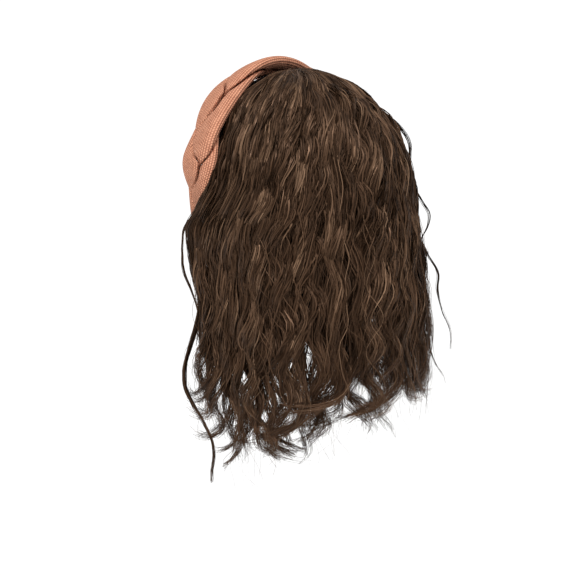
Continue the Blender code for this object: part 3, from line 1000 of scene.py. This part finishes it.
def buildHair():
    chance = np.random.default_rng(strands["seed"])
    material = makeHairMaterial()
    groups = [growLocks(chance, layer) for layer in lockLayers]
    groups += [growWisp(chance, wisp) for wisp in wisps]
    groups.append(growLoose(chance, 260))
    point, normal, tilt, width, toneAndShade = [np.concatenate(part) for part in zip(*groups)]
    past = np.maximum(strands["foremost"] - point[..., 1], 0)  # strays are held near the face
    point[..., 1] += past - strands["spare"] * np.tanh(past / strands["spare"])
    along = unit(np.gradient(point, axis=1))
    flat = unit(np.cross(along, normal))
    rise = np.cross(flat, along)
    across = flat * np.cos(tilt)[..., None] + rise * np.sin(tilt)[..., None]
    widthways = across * width[..., None]
    order = np.argsort(point[:, -1, 0], kind="stable")
    for i, part in enumerate(np.array_split(order, strands["pieces"])):
        name = f"hairStrands{i + 1}"
        mesh = stripMesh(name, point[part], widthways[part], toneAndShade[part])
        addPiece(name, mesh, material)
        print(name, len(mesh.polygons) * 2, "triangles")


# Stage, light and camera


def buildStage():
    form = bmesh.new()
    bmesh.ops.create_grid(form, x_segments=1, y_segments=1, size=6)
    bmesh.ops.translate(form, verts=form.verts, vec=(0, 0, -0.62))
    mesh = bpy.data.meshes.new("floor")
    form.to_mesh(mesh)
    form.free()
    floor = bpy.data.objects.new("floor", mesh)
    bpy.context.scene.collection.objects.link(floor)
    material, tree, shader = nodeMaterial("paleFloor")
    shader.inputs["Base Color"].default_value = (0.9, 0.9, 0.9, 1)
    shader.inputs["Roughness"].default_value = 0.9
    mesh.materials.append(material)


def addSun(name, place, angle, strength):
    lamp = bpy.data.lights.new(name, "SUN")
    lamp.angle = math.radians(angle)
    lamp.energy = strength
    item = bpy.data.objects.new(name, lamp)
    bpy.context.scene.collection.objects.link(item)
    item.rotation_mode = "QUATERNION"
    item.rotation_quaternion = (-Vector(place)).to_track_quat("-Z", "Y")


# A white studio: the camera sees plain white, and a weaker glow fills the shadows.
def buildLight():
    world = bpy.data.worlds.new("studio")
    bpy.context.scene.world = world
    world.use_nodes = True
    tree = world.node_tree
    seen = addNode(tree, "ShaderNodeLightPath").outputs["Is Camera Ray"]
    glow = calc(tree, "MULTIPLY_ADD", seen, 0.78, 0.32)
    tree.nodes["Background"].inputs["Color"].default_value = (1, 1, 1, 1)
    tree.links.new(glow, tree.nodes["Background"].inputs["Strength"])
    addSun("keySun", (1.0, 0.25, 1.25), 16, 2.9)
    addSun("backSun", (0.2, 1.0, 0.8), 30, 1.0)
    bpy.context.scene.view_settings.view_transform = "Standard"


# The photo's view: from behind the wearer's left shoulder, a little above.
def buildCamera():
    shot = {"azimuth": 134.0, "elevation": 5.0, "distance": 1.35, "width": 576 * 0.80 * mm}
    a, e = math.radians(shot["azimuth"]), math.radians(shot["elevation"])
    back = Vector((math.sin(a) * math.cos(e), -math.cos(a) * math.cos(e), math.sin(e)))
    right = Vector((math.cos(a), math.sin(a), 0))
    up = back.cross(right)
    aim = right * 0.0112 - up * 0.1664
    lens = bpy.data.cameras.new("photoCamera")
    lens.sensor_width = 36
    lens.lens = 36 * shot["distance"] / shot["width"]
    lens.clip_end = 50
    camera = bpy.data.objects.new("photoCamera", lens)
    bpy.context.scene.collection.objects.link(camera)
    turned = Matrix((right, up, back)).transposed().to_4x4()
    camera.matrix_world = Matrix.Translation(aim + back * shot["distance"]) @ turned
    bpy.context.scene.camera = camera


knit = buildBraid()
print("braid built")
buildBandEnds(knit)
buildCore()
buildCap()
buildBinding()
print("band and cap built")
buildUnderHair()
buildHair()
print("hair built")
buildStage()
buildLight()
buildCamera()
